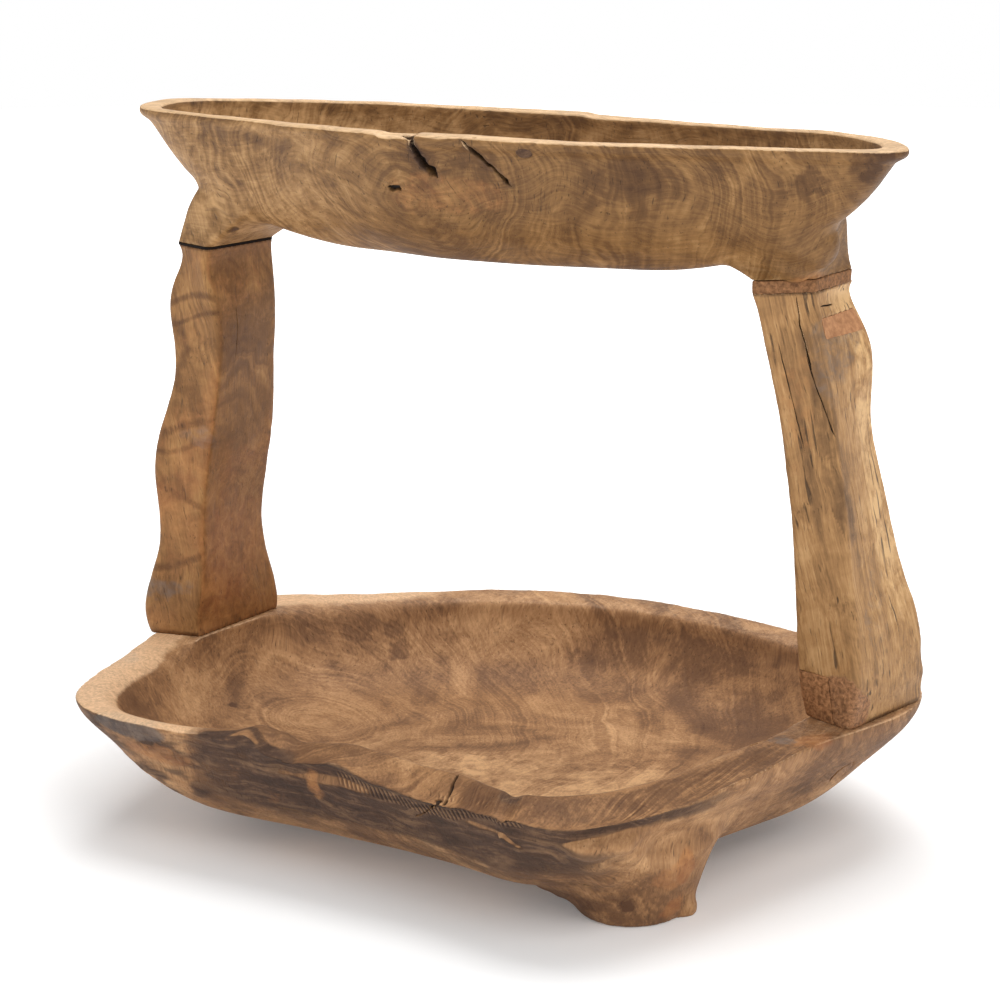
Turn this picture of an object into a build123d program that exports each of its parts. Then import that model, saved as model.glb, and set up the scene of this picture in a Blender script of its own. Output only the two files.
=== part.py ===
"""Two-tier server carved from teak root: a wide bowl below, a boat-shaped tray on two posts above.

The bowl stands on four carved feet. Two wavy slab posts rise from solid ledges at its ends and
carry the tray, which keeps a carved neck over each post. Dowels hold the tray, screws driven up
from under the ledges hold the posts, and plugs, a patch and sawdust-and-glue filler close what
the joinery leaves open. Nothing moves.

Frame: +X runs from the left post to the right post, +Y to the back, +Z up. The origin is on the
floor, under the middle of the whole piece. All sizes are in millimetres.
"""

import os
from math import cos, hypot, radians, sin

from build123d import *

# ---------------------------------------------------------------- lower bowl
post_base_span = 422.0  # between the middles of the two post feet, along X
bowl_width = 372.0  # front to back
rim_height = 86.0  # floor to the rim, which the posts stand on
belly_height = 12.0  # floor to the underside of the belly
bowl_floor = 22.0  # wood under the hollow
bowl_wall = 22.0  # rim thickness where no post stands

# ---------------------------------------------------------------- posts
post_height = 240.0
post_thickness = 38.5  # across a slab, about along X
post_width = 74.0  # front to back
left_lean = 17.0  # how far a post's top stands in from its foot
right_lean = 39.0
post_setback = 34.0  # middle of the bowl to the middle of a post foot, along Y
post_shift = 2.5  # middle of the bowl to the middle between the post feet, along X
post_corner = 4.0  # eased long corners

# ---------------------------------------------------------------- upper tray
tray_width = 150.0
tray_rise = 82.0  # joint plane to the rim
tray_depth = 76.0  # rim to the underside of the belly
tray_floor = 20.0  # wood under the hollow
tray_wall = 15.0
tray_setback = 17.0  # middle of the bowl to the middle of the tray, along Y
tray_shift = 5.5  # middle between the post tops to the middle of the tray, along X
neck_corner = 7.0

# ---------------------------------------------------------------- joinery
dowel_radius = 5.0
dowel_length = 50.0
dowel_pitch = 30.0  # between the two dowels of a joint
dowel_chamfer = 1.0
glue_gap = 0.05  # radial clearance of a dowel, screw or plug in its hole
hole_relief = 2.0  # room past each end of a dowel or a screw

screw_radius = 2.5
screw_length = 64.0
screw_pitch = 34.0  # between the two screws of a post foot
head_radius = 5.0
head_height = 3.0
thread_pitch = 3.0
thread_depth = 0.7
ledge_grip = 20.0  # ledge wood between a screw's head and the post
plug_radius = 6.0

glue_bed = 1.5  # set glue between the left post and its neck
filler_bed = 7.0  # sawdust-and-glue filler between the right post and its neck
base_filler_width = 24.0
base_filler_height = 27.0
base_filler_depth = 5.0
base_filler_taper = 6.0  # degrees, so that the broken corner narrows upwards
cut_past = 30.0  # how far the cuts for the repairs run outside the post

patch_height = 11.0
patch_width = 38.0
patch_depth = 9.0
patch_drop = 15.0  # joint plane to the top of the patch
toe_length = 40.0  # slanted screw whose entry the patch covers
toe_slant = 35.0  # degrees from upright
toe_inset = 5.5  # from the back of the patch to the middle of the screw's head

# ---------------------------------------------------------------- outlines as carved
# The free-form outlines are drawn at these sizes. A change of length is taken up between the
# posts, so the ends keep their shape and follow the posts.
drawn_base_span = 422.0
drawn_top_span = 366.0
drawn_bowl_width = 372.0
drawn_tray_width = 150.0
drawn_reach = 150.0  # the outlines stretch between minus this X and plus this X

# Rim of the bowl from its left end, round by the front: X, Y and rim thickness in walls.
bowl_rim = [
    (-233, 30, 2.0),
    (-223, -60, 1.1),
    (-205, -128, 1.1),
    (-120, -150, 1.0),
    (-20, -160, 1.0),
    (60, -175, 1.0),
    (110, -185, 1.1),
    (155, -150, 1.1),
    (190, -80, 1.2),
    (222, -4, 1.6),
    (240, 60, 2.1),
    (220, 106, 1.6),
    (132, 160, 1.0),
    (20, 185, 1.0),
    (-77, 165, 1.0),
    (-158, 118, 1.1),
    (-214, 84, 1.9),
]
# Outside of the bowl: share of the height from belly to rim, then shares of the rim's size.
bowl_hull = [
    (0.00, 0.57, 0.56),
    (0.05, 0.66, 0.65),
    (0.135, 0.745, 0.735),
    (0.32, 0.825, 0.83),
    (0.58, 0.905, 0.91),
    (1.00, 1.00, 1.00),
]
# Hollow of the bowl: share of the depth from floor to rim, then shares of the opening's size.
bowl_hollow = [
    (0.00, 0.50, 0.48),
    (0.05, 0.68, 0.66),
    (0.18, 0.83, 0.82),
    (0.45, 0.93, 0.93),
    (1.00, 1.00, 1.00),
]
# Feet: X and Y of the middle of the print on the floor, and its half sizes along them.
foot_prints = {
    "front_right": (123, -89, 30, 33),
    "front_left": (-130, -6, 22, 22),
    "back_left": (-114, 86, 22, 22),
    "back_right": (107, 100, 22, 22),
}
# Growth of a foot on its way up: share of the rim height, and size as a share of its print.
foot_flare = [(0.00, 1.00), (0.14, 1.25), (0.33, 1.55), (0.50, 1.90)]
foot_drift = 0.18  # share of its distance from the middle that a foot's top stands in

# Rim of the tray from its left tip, round by the front: X and Y about the tray's middle.
tray_rim = [
    (-240, 19),
    (-227, -12),
    (-174, -35),
    (-128, -48),
    (-74, -67),
    (20, -75),
    (66, -74),
    (139, -60),
    (211, -46),
    (240, -31),
    (223, 11),
    (199, 30),
    (160, 44),
    (97, 58),
    (12, 72),
    (-35, 75),
    (-146, 71),
    (-205, 54),
    (-233, 42),
]
tray_hull = [
    (0.00, 0.40, 0.30),
    (0.07, 0.56, 0.46),
    (0.20, 0.70, 0.62),
    (0.40, 0.825, 0.78),
    (0.60, 0.90, 0.87),
    (0.82, 0.955, 0.94),
    (1.00, 1.00, 1.00),
]
tray_hollow = [
    (0.00, 0.62, 0.50),
    (0.10, 0.78, 0.72),
    (0.35, 0.89, 0.88),
    (1.00, 1.00, 1.00),
]

# A post or neck section: share of the height, share of the lean, then its corners from the
# front left one, anticlockwise from above, in slab thicknesses and widths from its middle.
left_slab = [
    (0.00, 0.00, [(-0.58, -0.55), (0.31, -0.49), (0.69, 0.54), (-0.36, 0.50)]),
    (0.06, -0.10, [(-0.64, -0.55), (0.36, -0.49), (0.75, 0.53), (-0.42, 0.50)]),
    (0.21, 0.06, [(-0.47, -0.51), (0.39, -0.49), (0.50, 0.47), (-0.39, 0.42)]),
    (0.37, 0.18, [(-0.56, -0.47), (0.39, -0.49), (0.56, 0.43), (-0.39, 0.38)]),
    (0.50, 0.40, [(-0.64, -0.44), (0.42, -0.49), (0.64, 0.40), (-0.47, 0.36)]),
    (0.60, 0.70, [(-0.56, -0.42), (0.39, -0.49), (0.58, 0.38), (-0.44, 0.35)]),
    (0.75, 0.90, [(-0.56, -0.38), (0.42, -0.49), (0.58, 0.33), (-0.42, 0.33)]),
    (0.89, 0.88, [(-0.61, -0.33), (0.33, -0.49), (0.64, 0.29), (-0.42, 0.31)]),
    (1.00, 1.00, [(-0.53, -0.31), (0.22, -0.49), (0.61, 0.26), (-0.36, 0.31)]),
]
right_slab = [
    (0.00, 0.00, [(-0.69, -0.33), (0.11, -0.55), (0.69, 0.38), (-0.25, 0.47)]),
    (0.09, 0.00, [(-0.81, -0.36), (0.19, -0.54), (0.72, 0.38), (-0.22, 0.42)]),
    (0.25, 0.15, [(-0.72, -0.40), (0.25, -0.50), (0.72, 0.36), (-0.22, 0.39)]),
    (0.37, 0.28, [(-0.61, -0.46), (0.28, -0.47), (0.56, 0.35), (-0.22, 0.36)]),
    (0.50, 0.41, [(-0.53, -0.50), (0.31, -0.46), (0.50, 0.32), (-0.28, 0.33)]),
    (0.64, 0.56, [(-0.47, -0.54), (0.31, -0.43), (0.44, 0.31), (-0.28, 0.31)]),
    (0.75, 0.67, [(-0.47, -0.58), (0.28, -0.40), (0.53, 0.29), (-0.33, 0.28)]),
    (0.91, 0.85, [(-0.53, -0.64), (0.25, -0.36), (0.53, 0.28), (-0.25, 0.25)]),
    (1.00, 1.00, [(-0.53, -0.67), (0.31, -0.35), (0.53, 0.26), (-0.28, 0.22)]),
]
left_neck = [
    (0.15, [(-0.45, -0.32), (0.55, -0.51), (1.10, 0.32), (-0.34, 0.36)]),
    (0.29, [(-0.28, -0.38), (1.00, -0.54), (1.70, 0.36), (-0.23, 0.40)]),
    (0.49, [(0.05, -0.38), (1.70, -0.58), (2.40, 0.38), (0.00, 0.38)]),
]
right_neck = [
    (0.16, [(-0.95, -0.58), (0.30, -0.32), (0.46, 0.32), (-0.85, 0.38)]),
    (0.29, [(-1.50, -0.64), (0.32, -0.36), (0.42, 0.32), (-1.55, 0.42)]),
    (0.49, [(-2.10, -0.70), (0.42, -0.42), (0.40, 0.24), (-2.10, 0.46)]),
]

# ---------------------------------------------------------------- derived places
joint_height = rim_height + post_height
tray_height = joint_height + tray_rise
bowl_middle = Vector(0, 0)
left_foot = Vector(post_shift - post_base_span / 2, post_setback)
right_foot = Vector(post_shift + post_base_span / 2, post_setback)
tray_middle = Vector(post_shift + (left_lean - right_lean) / 2 + tray_shift, tray_setback)


# ---------------------------------------------------------------- shape helpers
def stretched(x, y, longer, wider):
    """A drawn point after a change of length, taken up between the ends, and of width."""
    pull = max(-1.0, min(1.0, x / drawn_reach))
    return x + pull * longer / 2, y * wider


def moved_in(points, thicknesses):
    """Points moved towards the middle of their outline by their own thicknesses."""
    moved = []
    for (x, y), thickness in zip(points, thicknesses):
        share = 1 - thickness / hypot(x, y)
        moved.append((x * share, y * share))
    return moved


def level_sections(points, middle, levels, bottom, top):
    """Smooth level sections of one outline, at shares of the height and of the outline's size."""
    sections = []
    for rise, length_share, width_share in levels:
        height = bottom + (top - bottom) * rise
        placed = [(middle.X + x * length_share, middle.Y + y * width_share) for x, y in points]
        with BuildSketch(Plane.XY.offset(height)) as section:
            with BuildLine():
                Spline(*placed, periodic=True)
            make_face()
        sections.append(section.sketch)
    return sections


def slab_corners(slab_middle, corners):
    """Corners of a slab section in place."""
    return [
        (slab_middle.X + x * post_thickness, slab_middle.Y + y * post_width) for x, y in corners
    ]


def slab_section(corners, height, corner_radius):
    """A level four-cornered section with eased corners."""
    with BuildSketch(Plane.XY.offset(height)) as section:
        with BuildLine():
            Polyline(*corners, close=True)
        make_face()
        fillet(section.vertices(), corner_radius)
    return section.sketch


def slab_sections(slab, foot, lean, height):
    """Sections of a leaning post from its foot up."""
    sections = []
    for rise, lean_share, corners in slab:
        placed = slab_corners(foot + Vector(lean * lean_share, 0), corners)
        sections.append(slab_section(placed, rim_height + height * rise, post_corner))
    return sections


def neck_sections(neck, top_middle, top_corners, bed):
    """Sections of a tray neck from the bed on its post up into the tray."""
    sections = [slab_section(top_corners, joint_height + bed, post_corner)]
    for rise, corners in neck:
        placed = slab_corners(top_middle, corners)
        sections.append(slab_section(placed, joint_height + tray_rise * rise, neck_corner))
    return sections


def fastener_places(corners, pitch):
    """Front and back places of two fasteners on a slab section's middle line."""
    front_left, front_right, back_right, back_left = [Vector(x, y) for x, y in corners]
    middle = (front_left + front_right + back_right + back_left) / 4
    run = (back_left + back_right - front_left - front_right).normalized()
    return {"front": middle - run * (pitch / 2), "back": middle + run * (pitch / 2)}


def upright_bore(place, bottom, top, radius):
    """Cut an upright round hole."""
    with Locations((place.X, place.Y, bottom)):
        Cylinder(
            radius,
            top - bottom,
            align=(Align.CENTER, Align.CENTER, Align.MIN),
            mode=Mode.SUBTRACT,
        )


def screw_profile(length):
    """Half section of a wood screw, head down at the origin, threaded from there to its tip."""
    core = screw_radius - thread_depth
    turns = int((length - 2 * thread_pitch) / thread_pitch)
    outline = [(0, -head_height), (head_radius, -head_height), (head_radius, 0), (core, 0)]
    for turn in range(turns):
        root = (turn + 0.5) * thread_pitch
        outline += [(core, root), (screw_radius, root + thread_pitch / 2)]
    outline += [(core, (turns + 0.5) * thread_pitch), (0, length)]
    return outline


def save(builder, name):
    """Label a finished piece and write it."""
    builder.part.label = name
    export_step(builder.part, f"parts/{name}.step")


os.makedirs("parts", exist_ok=True)

# ---------------------------------------------------------------- places of the joinery
left_foot_corners = slab_corners(left_foot, left_slab[0][2])
right_foot_corners = slab_corners(right_foot, right_slab[0][2])
left_top = left_foot + Vector(left_lean, 0)
right_top = right_foot - Vector(right_lean, 0)
left_top_corners = slab_corners(left_top, left_slab[-1][2])
right_top_corners = slab_corners(right_top, right_slab[-1][2])

base_screws = {
    "left": fastener_places(left_foot_corners, screw_pitch),
    "right": fastener_places(right_foot_corners, screw_pitch),
}
top_dowels = {
    "left": fastener_places(left_top_corners, dowel_pitch),
    "right": fastener_places(right_top_corners, dowel_pitch),
}
beds = {"left": glue_bed, "right": filler_bed}

head_seat = rim_height - ledge_grip
head_bottom = head_seat - head_height
screw_hole_top = head_seat + screw_length + hole_relief
screw_hole_radius = screw_radius + glue_gap
dowel_hole_radius = dowel_radius + glue_gap
plug_hole_radius = plug_radius + glue_gap
dowel_bottom = joint_height - dowel_length / 2
dowel_hole_bottom = dowel_bottom - hole_relief
dowel_hole_top = dowel_bottom + dowel_length + hole_relief

# The slanted screw starts behind the patch, in the outer face, and leans in as it rises.
patch_top = joint_height - patch_drop
patch_bottom = patch_top - patch_height
outer_top = (right_top_corners[1][0] + right_top_corners[2][0]) / 2
outer_at_patch = outer_top + (joint_height - patch_bottom) * right_lean / post_height
patch_inside = outer_at_patch - patch_depth
patch_middle = (right_top_corners[1][1] + right_top_corners[2][1]) / 2
between_dowels = (top_dowels["right"]["front"] + top_dowels["right"]["back"]) / 2
toe_start = Vector(patch_inside - toe_inset, between_dowels.Y, patch_top)
toe_entry = toe_inset / sin(radians(toe_slant)) + head_height
toe_rise = Vector(-sin(radians(toe_slant)), 0, cos(radians(toe_slant)))
toe_plane = Plane(origin=toe_start, x_dir=(0, 1, 0), z_dir=toe_rise)


def toe_bore():
    """Cut the slanted screw's hole, with room for its head."""
    with Locations(toe_plane.location):
        Cylinder(
            screw_hole_radius,
            toe_length + hole_relief,
            align=(Align.CENTER, Align.CENTER, Align.MIN),
            mode=Mode.SUBTRACT,
        )
        Cylinder(
            head_radius + glue_gap,
            toe_entry,
            align=(Align.CENTER, Align.CENTER, Align.MAX),
            mode=Mode.SUBTRACT,
        )


# ---------------------------------------------------------------- lower bowl
bowl_longer = post_base_span - drawn_base_span
bowl_wider = bowl_width / drawn_bowl_width
bowl_outline = [stretched(x, y, bowl_longer, bowl_wider) for x, y, walls in bowl_rim]
bowl_opening = moved_in(bowl_outline, [walls * bowl_wall for x, y, walls in bowl_rim])

with BuildPart() as bowl_blank:
    loft(level_sections(bowl_outline, bowl_middle, bowl_hull, belly_height, rim_height))
    for foot_x, foot_y, half_x, half_y in foot_prints.values():
        foot_place = Vector(*stretched(foot_x, foot_y, bowl_longer, bowl_wider))
        foot_sections = []
        for rise, growth in foot_flare:
            centre = foot_place * (1 - foot_drift * rise)
            with BuildSketch(Plane.XY.offset(rim_height * rise)) as foot_section:
                with Locations((centre.X, centre.Y)):
                    Ellipse(half_x * growth, half_y * growth)
            foot_sections.append(foot_section.sketch)
        loft(foot_sections)

with BuildPart() as lower_bowl:
    add(bowl_blank.part)
    hollow_bottom = belly_height + bowl_floor
    loft(
        level_sections(bowl_opening, bowl_middle, bowl_hollow, hollow_bottom, rim_height),
        mode=Mode.SUBTRACT,
    )
    for side_screws in base_screws.values():
        for place in side_screws.values():
            upright_bore(place, 0, head_bottom, plug_hole_radius)
            upright_bore(place, head_bottom, head_seat, head_radius + glue_gap)
            upright_bore(place, head_seat, rim_height, screw_hole_radius)
save(lower_bowl, "lower_bowl")

# ---------------------------------------------------------------- posts
with BuildPart() as left_post:
    loft(slab_sections(left_slab, left_foot, left_lean, post_height))
    for place in base_screws["left"].values():
        upright_bore(place, rim_height, screw_hole_top, screw_hole_radius)
    for place in top_dowels["left"].values():
        upright_bore(place, dowel_hole_bottom, joint_height, dowel_hole_radius)
save(left_post, "left_post")

with BuildPart() as right_blank:
    loft(slab_sections(right_slab, right_foot, -right_lean, post_height))

# What the two repairs take out of the right post: a pocket in its outer face, near the top, and
# a broken corner at the foot of its front face.
with BuildPart() as patch_pocket:
    with BuildSketch(Plane.XY.offset(patch_bottom)):
        with Locations((patch_inside, patch_middle)):
            Rectangle(patch_depth + cut_past, patch_width, align=(Align.MIN, Align.CENTER))
    extrude(amount=patch_height)

chip_left = Vector(*right_foot_corners[0])
chip_run = (Vector(*right_foot_corners[1]) - chip_left).normalized()
chip_side = Vector(-chip_run.Y, chip_run.X)
chip_far = chip_left + chip_run * base_filler_width
chip_back = chip_left + chip_side * base_filler_depth
chip_corners = [
    chip_left - (chip_run + chip_side) * cut_past,
    chip_far - chip_side * cut_past,
    chip_far,
    chip_back + chip_run * base_filler_width / 2,
    chip_back - chip_run * cut_past,
]
with BuildPart() as chipped_corner:
    with BuildSketch(Plane.XY.offset(rim_height)):
        with BuildLine():
            Polyline(*[(corner.X, corner.Y) for corner in chip_corners], close=True)
        make_face()
    extrude(amount=base_filler_height, taper=base_filler_taper)

with BuildPart() as right_post_patch:
    add(right_blank.part)
    add(patch_pocket.part, mode=Mode.INTERSECT)
save(right_post_patch, "right_post_patch")

with BuildPart() as right_base_filler:
    add(right_blank.part)
    add(chipped_corner.part, mode=Mode.INTERSECT)
save(right_base_filler, "right_base_filler")

with BuildPart() as right_post:
    add(right_blank.part)
    add(patch_pocket.part, mode=Mode.SUBTRACT)
    add(chipped_corner.part, mode=Mode.SUBTRACT)
    for place in base_screws["right"].values():
        upright_bore(place, rim_height, screw_hole_top, screw_hole_radius)
    for place in top_dowels["right"].values():
        upright_bore(place, dowel_hole_bottom, joint_height, dowel_hole_radius)
    toe_bore()
save(right_post, "right_post")

# ---------------------------------------------------------------- beds between posts and necks
with BuildPart() as left_glue_bed:
    extrude(slab_section(left_top_corners, joint_height, post_corner), glue_bed)
    for place in top_dowels["left"].values():
        upright_bore(place, joint_height, joint_height + glue_bed, dowel_hole_radius)
save(left_glue_bed, "left_glue_bed")

with BuildPart() as right_top_filler:
    extrude(slab_section(right_top_corners, joint_height, post_corner), filler_bed)
    for place in top_dowels["right"].values():
        upright_bore(place, joint_height, joint_height + filler_bed, dowel_hole_radius)
    toe_bore()
save(right_top_filler, "right_top_filler")

# ---------------------------------------------------------------- upper tray
tray_longer = post_base_span - left_lean - right_lean - drawn_top_span
tray_wider = tray_width / drawn_tray_width
tray_outline = [stretched(x, y, tray_longer, tray_wider) for x, y in tray_rim]
tray_opening = moved_in(tray_outline, [tray_wall] * len(tray_outline))

with BuildPart() as upper_tray:
    tray_bottom = tray_height - tray_depth
    loft(level_sections(tray_outline, tray_middle, tray_hull, tray_bottom, tray_height))
    loft(neck_sections(left_neck, left_top, left_top_corners, glue_bed))
    loft(neck_sections(right_neck, right_top, right_top_corners, filler_bed))
    hollow_bottom = tray_bottom + tray_floor
    loft(
        level_sections(tray_opening, tray_middle, tray_hollow, hollow_bottom, tray_height),
        mode=Mode.SUBTRACT,
    )
    for side_dowels in top_dowels.values():
        for place in side_dowels.values():
            upright_bore(place, joint_height, dowel_hole_top, dowel_hole_radius)
    toe_bore()
save(upper_tray, "upper_tray")

# ---------------------------------------------------------------- dowels, screws and plugs
for side, side_dowels in top_dowels.items():
    for end, place in side_dowels.items():
        with BuildPart() as top_dowel:
            with BuildSketch(Plane((place.X, place.Y, dowel_bottom))):
                Circle(dowel_radius)
            extrude(amount=dowel_length)
            chamfer(top_dowel.edges().filter_by(GeomType.CIRCLE), dowel_chamfer)
        save(top_dowel, f"{side}_{end}_top_dowel")

for side, side_screws in base_screws.items():
    for end, place in side_screws.items():
        screw_place = Vector(place.X, place.Y, head_seat)
        with BuildPart() as base_screw:
            with BuildSketch(Plane(origin=screw_place, x_dir=(1, 0, 0), z_dir=(0, -1, 0))):
                with BuildLine():
                    Polyline(*screw_profile(screw_length), close=True)
                make_face()
            revolve(axis=Axis(screw_place, (0, 0, 1)))
        save(base_screw, f"{side}_{end}_base_screw")

        with BuildPart() as base_plug:
            with BuildSketch(Plane((place.X, place.Y, 0))):
                Circle(plug_radius)
            extrude(amount=head_bottom)
            add(bowl_blank.part, mode=Mode.INTERSECT)
        save(base_plug, f"{side}_{end}_base_plug")

with BuildPart() as right_toe_screw:
    with BuildSketch(Plane(origin=toe_start, x_dir=toe_plane.x_dir, z_dir=-toe_plane.y_dir)):
        with BuildLine():
            Polyline(*screw_profile(toe_length), close=True)
        make_face()
    revolve(axis=Axis(toe_start, toe_rise))
save(right_toe_screw, "right_toe_screw")

whole = Compound([lower_bowl.part, upper_tray.part, left_post.part, right_post.part])
print("overall box", whole.bounding_box())
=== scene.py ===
"""Looks of the two-tier teak-root server: the carved wood, its repairs and its joinery."""

import math

import bmesh
import bpy
import numpy as np
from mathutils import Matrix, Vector


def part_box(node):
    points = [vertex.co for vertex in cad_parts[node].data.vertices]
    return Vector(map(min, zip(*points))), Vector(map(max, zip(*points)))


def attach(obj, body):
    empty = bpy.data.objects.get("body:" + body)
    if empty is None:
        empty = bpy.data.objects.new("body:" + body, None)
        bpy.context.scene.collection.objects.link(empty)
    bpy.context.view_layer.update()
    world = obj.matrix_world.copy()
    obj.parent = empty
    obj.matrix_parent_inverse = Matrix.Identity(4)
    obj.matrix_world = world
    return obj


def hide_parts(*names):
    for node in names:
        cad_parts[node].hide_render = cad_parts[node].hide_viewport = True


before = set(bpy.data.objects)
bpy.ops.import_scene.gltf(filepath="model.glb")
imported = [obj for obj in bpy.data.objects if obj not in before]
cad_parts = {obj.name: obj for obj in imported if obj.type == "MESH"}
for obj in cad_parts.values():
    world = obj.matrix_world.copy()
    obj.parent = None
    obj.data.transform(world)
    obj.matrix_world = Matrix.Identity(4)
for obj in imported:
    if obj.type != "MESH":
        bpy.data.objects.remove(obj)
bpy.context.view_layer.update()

MM = 0.001
LOW, HIGH = np.array(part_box("lower_bowl"))
RIM = HIGH[2]  # height of the bowl's rim
TRAY_LOW, TRAY_HIGH = np.array(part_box("upper_tray"))


# ---------------------------------------------------------------- numbers over whole meshes
def lattice(cell, seed):
    """A fixed pseudo-random value from 0 to 1 for each whole-numbered cell."""
    n = cell[:, 0] * 374761393 + cell[:, 1] * 668265263 + cell[:, 2] * 1440662683 + seed * 974634777
    n = (n ^ (n >> 13)) * 1274126177 & 0x7FFFFFFF
    return ((n ^ (n >> 16)) & 0xFFFF) / 65535.0


def noise(points, size, seed=0, octaves=1):
    """Smooth noise from -1 to 1 whose largest lumps are about size metres across."""
    total = np.zeros(len(points))
    weight = 0.0
    for octave in range(octaves):
        p = points * 2**octave / size + 57.3
        cell = np.floor(p).astype(np.int64)
        f = p - cell
        f = f * f * (3 - 2 * f)
        value = np.zeros(len(points))
        for corner in range(8):
            step = np.array([corner & 1, corner >> 1 & 1, corner >> 2])
            share = np.prod(np.where(step, f, 1 - f), axis=1)
            value += share * lattice(cell + step, seed + octave)
        total += (value * 2 - 1) * 0.5**octave
        weight += 0.5**octave
    return total / weight


def ramp(value, low, high):
    """0 below low, 1 above high, and a smooth rise between."""
    t = np.clip((value - low) / (high - low), 0, 1)
    return t * t * (3 - 2 * t)


def hump(value, middle, half_width):
    """1 at the middle, falling smoothly to 0 at half_width on either side."""
    return np.clip(1 - ((value - middle) / half_width) ** 2, 0, 1) ** 2


def keyed(value, keys):
    """A number that changes smoothly between (place, number) keys."""
    places, numbers = np.array(keys, float).T
    index = np.clip(np.searchsorted(places, value) - 1, 0, len(places) - 2)
    t = np.clip((value - places[index]) / (places[index + 1] - places[index]), 0, 1)
    t = t * t * (3 - 2 * t)
    return numbers[index] * (1 - t) + numbers[index + 1] * t


def near_line(points, line, normals=None):
    """Distance from each point to a line of straight runs, and the share of the way along it. With normals, the
    distance is along the surface, for a line up to 9 mm over or under it."""
    line = np.array(line, float)
    best = np.full(len(points), 1e9)
    share = np.zeros(len(points))
    for index in range(len(line) - 1):
        start, run = line[index], line[index + 1] - line[index]
        t = np.clip((points - start) @ run / (run @ run), 0, 1)
        offset = points - start - t[:, None] * run
        distance = np.linalg.norm(offset, axis=1)
        if normals is not None:
            flat = offset - normals * (offset * normals).sum(1)[:, None]
            distance = np.where(distance < 9 * MM, np.linalg.norm(flat, axis=1), distance)
        closer = distance < best
        best = np.where(closer, distance, best)
        share = np.where(closer, (index + t) / (len(line) - 1), share)
    return best, share


# ---------------------------------------------------------------- meshes
def corners_of(piece):
    co = np.zeros(len(piece.data.vertices) * 3)
    piece.data.vertices.foreach_get("co", co)
    return co.reshape(-1, 3)


def normals_of(piece):
    flat = np.zeros(len(piece.data.vertices) * 3)
    piece.data.vertex_normals.foreach_get("vector", flat)
    return flat.reshape(-1, 3)


def move_to(piece, points):
    piece.data.vertices.foreach_set("co", points.ravel())
    piece.data.update()


def keep_value(piece, name, values):
    """Store a number on each vertex for the material to read."""
    attribute = piece.data.attributes.get(name) or piece.data.attributes.new(name, "FLOAT", "POINT")
    attribute.data.foreach_set("value", np.asarray(values, np.float32))


def with_modifiers(piece):
    """Put the result of a piece's modifiers into its mesh."""
    graph = bpy.context.evaluated_depsgraph_get()
    mesh = bpy.data.meshes.new_from_object(piece.evaluated_get(graph))
    piece.modifiers.clear()
    old = piece.data
    piece.data = mesh
    bpy.data.meshes.remove(old)


def blank(nodes, name, cell, lumps=()):
    """A new evenly meshed piece with the shape of some CAD nodes, and of round lumps given as (middle, radius)."""
    mesh = bpy.data.meshes.new(name)
    points, faces, start = [], [], 0
    for node in nodes:
        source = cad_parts[node]
        points.append(corners_of(source))
        faces += [[start + v for v in face.vertices] for face in source.data.polygons]
        start += len(source.data.vertices)
    for middle, radius in lumps:
        ball = bmesh.new()
        bmesh.ops.create_icosphere(ball, subdivisions=3, radius=radius)
        points.append(np.array([v.co for v in ball.verts]) + np.array(middle))
        faces += [[start + v.index for v in face.verts] for face in ball.faces]
        start += len(ball.verts)
        ball.free()
    mesh.from_pydata(np.concatenate(points).tolist(), [], faces)
    piece = bpy.data.objects.new(name, mesh)
    bpy.context.scene.collection.objects.link(piece)
    weld = piece.modifiers.new("weld", "WELD")
    weld.merge_threshold = 0.01 * MM
    remesh = piece.modifiers.new("remesh", "REMESH")
    remesh.mode = "VOXEL"
    remesh.voxel_size = cell
    with_modifiers(piece)
    for polygon in piece.data.polygons:
        polygon.use_smooth = True
    return piece


def smooth(piece, rounds, weights=None):
    """Even out a mesh with little shrinking, by each vertex's weight where weights are given."""
    edges = np.zeros(len(piece.data.edges) * 2, np.int64)
    piece.data.edges.foreach_get("vertices", edges)
    a, b = edges.reshape(-1, 2).T
    points = corners_of(piece)
    count = np.bincount(a, minlength=len(points)) + np.bincount(b, minlength=len(points))
    share = 1 if weights is None else weights[:, None]
    for turn in range(2 * rounds):
        middle = np.zeros_like(points)
        for axis in range(3):
            middle[:, axis] = np.bincount(a, points[b, axis], len(points))
            middle[:, axis] += np.bincount(b, points[a, axis], len(points))
        middle /= count[:, None]
        points += (-0.51 if turn % 2 else 0.55) * share * (middle - points)
    move_to(piece, points)


def relax(piece, rounds, weights, only_out=False):
    """Even out a mesh by weight. With only_out, it fills creases and leaves the rest as it is."""
    edges = np.zeros(len(piece.data.edges) * 2, np.int64)
    piece.data.edges.foreach_get("vertices", edges)
    a, b = edges.reshape(-1, 2).T
    active = weights > 0.01
    used = active[a] | active[b]
    kept, local = np.unique(np.concatenate([a[used], b[used]]), return_inverse=True)
    a, b = local.reshape(2, -1)
    points, normals = corners_of(piece), normals_of(piece)
    part, pull = points[kept], 0.5 * (weights * active)[kept, None]
    count = (np.bincount(a, minlength=len(kept)) + np.bincount(b, minlength=len(kept)))[:, None]
    for turn in range(rounds):
        total = [np.bincount(a, part[b, k], len(kept)) + np.bincount(b, part[a, k], len(kept)) for k in range(3)]
        move = np.stack(total, 1) / count - part
        if only_out:
            outward = (move * normals[kept]).sum(1)
            move *= np.where(outward > 0, 1.0, 0.03)[:, None]
        part += pull * move
        if only_out and turn % 12 == 11:
            points[kept] = part
            move_to(piece, points)
            normals = normals_of(piece)
    points[kept] = part
    move_to(piece, points)


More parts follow.
